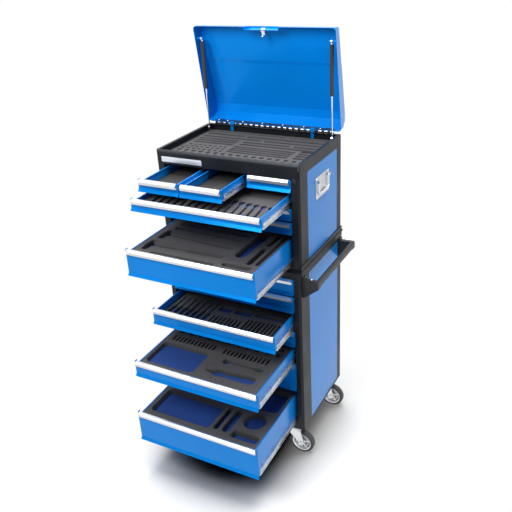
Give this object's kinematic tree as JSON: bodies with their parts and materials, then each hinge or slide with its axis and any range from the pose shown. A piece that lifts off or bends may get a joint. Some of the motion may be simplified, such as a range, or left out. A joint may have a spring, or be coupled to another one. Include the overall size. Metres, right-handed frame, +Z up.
{
  "type": "tool chest and roller cabinet",
  "caption": "Steel tool chest with opening lid standing on a roller cabinet, with sliding drawers, a side push handle and swivelling and fixed casters.",
  "frame": {"origin": "on the floor under the middle of the roller cabinet", "axes": "+Z up, -Y out of the drawer fronts, +X to the right seen from the front"},
  "size_m": [0.7905, 0.9789, 1.9781],
  "materials": {
    "black_paint": "fine satin black enamel",
    "blue_paint": "gloss blue enamel",
    "aluminium": "satin anodised extrusion",
    "zinc_steel": "bright zinc plate",
    "chrome": "polished chrome plate",
    "black_steel": "satin black",
    "black_plastic": "matt moulded",
    "black_rubber": "matt ribbed",
    "black_foam": "matt moulded tray",
    "tyre": "matt grey rubber on a light metal rim"
  },
  "bodies": {
    "cabinets": {"chest_cabinet": "black_paint", "trolley_cabinet": "black_paint", "side_panels": "blue_paint", "slide_rails": "zinc_steel", "top_tray": "black_plastic", "hinge_leaf_fixed": "black_steel", "lift_handle_plates": "chrome", "push_handle_brackets": "black_plastic", "push_handle_grip": "black_plastic", "caster_top_plates": "zinc_steel", "fixed_caster_forks": "zinc_steel", "till_foam": "black_foam"},
    "chest_drawer_top_left": {"chest_drawer_top_left": "blue_paint", "chest_pull_top_left": "aluminium"},
    "chest_drawer_top_middle": {"chest_drawer_top_middle": "blue_paint", "chest_pull_top_middle": "aluminium"},
    "chest_drawer_top_right": {"chest_drawer_top_right": "blue_paint", "chest_pull_top_right": "aluminium"},
    "chest_drawer_2": {"chest_drawer_2": "blue_paint", "chest_pull_2": "aluminium"},
    "chest_drawer_3": {"chest_drawer_3": "blue_paint", "chest_pull_3": "aluminium"},
    "chest_drawer_4": {"chest_drawer_4": "blue_paint", "chest_pull_4": "aluminium"},
    "chest_drawer_5": {"chest_drawer_5": "blue_paint", "chest_pull_5": "aluminium", "chest_foam_5": "black_foam"},
    "trolley_drawer_1": {"trolley_drawer_1": "blue_paint", "trolley_pull_1": "aluminium"},
    "trolley_drawer_2": {"trolley_drawer_2": "blue_paint", "trolley_pull_2": "aluminium"},
    "trolley_drawer_3": {"trolley_drawer_3": "blue_paint", "trolley_pull_3": "aluminium", "trolley_foam_3": "black_foam"},
    "trolley_drawer_4": {"trolley_drawer_4": "blue_paint", "trolley_pull_4": "aluminium"},
    "trolley_drawer_5": {"trolley_drawer_5": "blue_paint", "trolley_pull_5": "aluminium", "trolley_foam_5": "black_foam"},
    "trolley_drawer_6": {"trolley_drawer_6": "blue_paint", "trolley_pull_6": "aluminium"},
    "trolley_drawer_7": {"trolley_drawer_7": "blue_paint", "trolley_pull_7": "aluminium", "trolley_foam_7": "black_foam"},
    "lid": {"lid": "blue_paint", "hinge_leaf_lid": "black_steel"},
    "strut_rod_left": {"strut_rod_left": "chrome"},
    "strut_tube_left": {"strut_tube_left": "black_steel"},
    "strut_rod_right": {"strut_rod_right": "chrome"},
    "strut_tube_right": {"strut_tube_right": "black_steel"},
    "lift_handle_left": {"lift_handle_left": "chrome"},
    "lift_handle_right": {"lift_handle_right": "chrome"},
    "swivel_fork_front": {"swivel_fork_front": "zinc_steel"},
    "wheel_right_front": {"wheel_right_front": "tyre"},
    "wheel_left_front": {"wheel_left_front": "tyre"},
    "brake_pedal_front": {"brake_pedal_front": "zinc_steel"},
    "swivel_fork_rear": {"swivel_fork_rear": "zinc_steel"},
    "wheel_right_rear": {"wheel_right_rear": "tyre"},
    "wheel_left_rear": {"wheel_left_rear": "tyre"},
    "brake_pedal_rear": {"brake_pedal_rear": "zinc_steel"}
  },
  "joints": [
    {"name": "chest_drawer_top_left_slide", "type": "slide", "parent": "cabinets", "child": "chest_drawer_top_left", "axis": [0, -1, 0], "range_m": [-0.198, 0.197]},
    {"name": "chest_drawer_top_middle_slide", "type": "slide", "parent": "cabinets", "child": "chest_drawer_top_middle", "axis": [0, -1, 0], "range_m": [-0.198, 0.197]},
    {"name": "chest_drawer_top_right_slide", "type": "slide", "parent": "cabinets", "child": "chest_drawer_top_right", "axis": [0, -1, 0], "range_m": [0, 0.395]},
    {"name": "chest_drawer_2_slide", "type": "slide", "parent": "cabinets", "child": "chest_drawer_2", "axis": [0, -1, 0], "range_m": [-0.265, 0.13]},
    {"name": "chest_drawer_3_slide", "type": "slide", "parent": "cabinets", "child": "chest_drawer_3", "axis": [0, -1, 0], "range_m": [0, 0.395]},
    {"name": "chest_drawer_4_slide", "type": "slide", "parent": "cabinets", "child": "chest_drawer_4", "axis": [0, -1, 0], "range_m": [0, 0.395]},
    {"name": "chest_drawer_5_slide", "type": "slide", "parent": "cabinets", "child": "chest_drawer_5", "axis": [0, -1, 0], "range_m": [-0.3435, 0.0515]},
    {"name": "trolley_drawer_1_slide", "type": "slide", "parent": "cabinets", "child": "trolley_drawer_1", "axis": [0, -1, 0], "range_m": [0, 0.42]},
    {"name": "trolley_drawer_2_slide", "type": "slide", "parent": "cabinets", "child": "trolley_drawer_2", "axis": [0, -1, 0], "range_m": [0, 0.42]},
    {"name": "trolley_drawer_3_slide", "type": "slide", "parent": "cabinets", "child": "trolley_drawer_3", "axis": [0, -1, 0], "range_m": [-0.197, 0.223]},
    {"name": "trolley_drawer_4_slide", "type": "slide", "parent": "cabinets", "child": "trolley_drawer_4", "axis": [0, -1, 0], "range_m": [0, 0.42]},
    {"name": "trolley_drawer_5_slide", "type": "slide", "parent": "cabinets", "child": "trolley_drawer_5", "axis": [0, -1, 0], "range_m": [-0.3735, 0.0465]},
    {"name": "trolley_drawer_6_slide", "type": "slide", "parent": "cabinets", "child": "trolley_drawer_6", "axis": [0, -1, 0], "range_m": [0, 0.42]},
    {"name": "trolley_drawer_7_slide", "type": "slide", "parent": "cabinets", "child": "trolley_drawer_7", "axis": [0, -1, 0], "range_m": [-0.4095, 0.0105]},
    {"name": "lid_hinge", "type": "hinge", "parent": "cabinets", "child": "lid", "pos_m": [0, 0.245, 1.512], "axis": [-1, 0, 0], "range_deg": [-81.3, 0]},
    {"name": "strut_swing_left", "type": "hinge", "parent": "cabinets", "child": "strut_rod_left", "pos_m": [-0.324, 0.198, 1.497], "axis": [-1, 0, 0], "range_deg": [-86.06, 0.5]},
    {"name": "strut_stroke_left", "type": "slide", "parent": "strut_rod_left", "child": "strut_tube_left", "axis": [0, -0.0024, 1], "range_m": [-0.0593, 0.0005]},
    {"name": "strut_swing_right", "type": "hinge", "parent": "cabinets", "child": "strut_rod_right", "pos_m": [0.324, 0.198, 1.497], "axis": [-1, 0, 0], "range_deg": [-86.06, 0.5]},
    {"name": "strut_stroke_right", "type": "slide", "parent": "strut_rod_right", "child": "strut_tube_right", "axis": [0, -0.0024, 1], "range_m": [-0.0593, 0.0005]},
    {"name": "lift_handle_swing_left", "type": "hinge", "parent": "cabinets", "child": "lift_handle_left", "pos_m": [-0.3585, 0.016, 1.376], "axis": [0, 1, 0], "range_deg": [0, 90]},
    {"name": "lift_handle_swing_right", "type": "hinge", "parent": "cabinets", "child": "lift_handle_right", "pos_m": [0.3585, 0.016, 1.376], "axis": [0, -1, 0], "range_deg": [0, 90]},
    {"name": "swivel_front", "type": "hinge", "parent": "cabinets", "child": "swivel_fork_front", "pos_m": [0.29, -0.212, 0.1365], "axis": [0, 0, 1], "continuous": true},
    {"name": "roll_right_front", "type": "hinge", "parent": "swivel_fork_front", "child": "wheel_right_front", "pos_m": [0.328, -0.212, 0.0625], "axis": [0, 1, 0], "continuous": true},
    {"name": "roll_left_front", "type": "hinge", "parent": "cabinets", "child": "wheel_left_front", "pos_m": [-0.29, -0.212, 0.0625], "axis": [0, 1, 0], "continuous": true},
    {"name": "brake_front", "type": "hinge", "parent": "swivel_fork_front", "child": "brake_pedal_front", "pos_m": [0.27, -0.212, 0.1245], "axis": [0, -1, 0], "range_deg": [0, 12]},
    {"name": "swivel_rear", "type": "hinge", "parent": "cabinets", "child": "swivel_fork_rear", "pos_m": [0.29, 0.185, 0.1365], "axis": [0, 0, 1], "continuous": true},
    {"name": "roll_right_rear", "type": "hinge", "parent": "swivel_fork_rear", "child": "wheel_right_rear", "pos_m": [0.328, 0.185, 0.0625], "axis": [0, 1, 0], "continuous": true},
    {"name": "roll_left_rear", "type": "hinge", "parent": "cabinets", "child": "wheel_left_rear", "pos_m": [-0.29, 0.185, 0.0625], "axis": [0, 1, 0], "continuous": true},
    {"name": "brake_rear", "type": "hinge", "parent": "swivel_fork_rear", "child": "brake_pedal_rear", "pos_m": [0.27, 0.185, 0.1245], "axis": [0, -1, 0], "range_deg": [0, 12]}
  ],
  "couplings": [
    {"joint": "strut_swing_left", "follows": "lid_hinge", "ratio": 1.0487},
    {"joint": "strut_stroke_left", "follows": "lid_hinge", "m_per_rad": 0.041058},
    {"joint": "strut_swing_right", "follows": "lid_hinge", "ratio": 1.0487},
    {"joint": "strut_stroke_right", "follows": "lid_hinge", "m_per_rad": 0.041058}
  ]
}
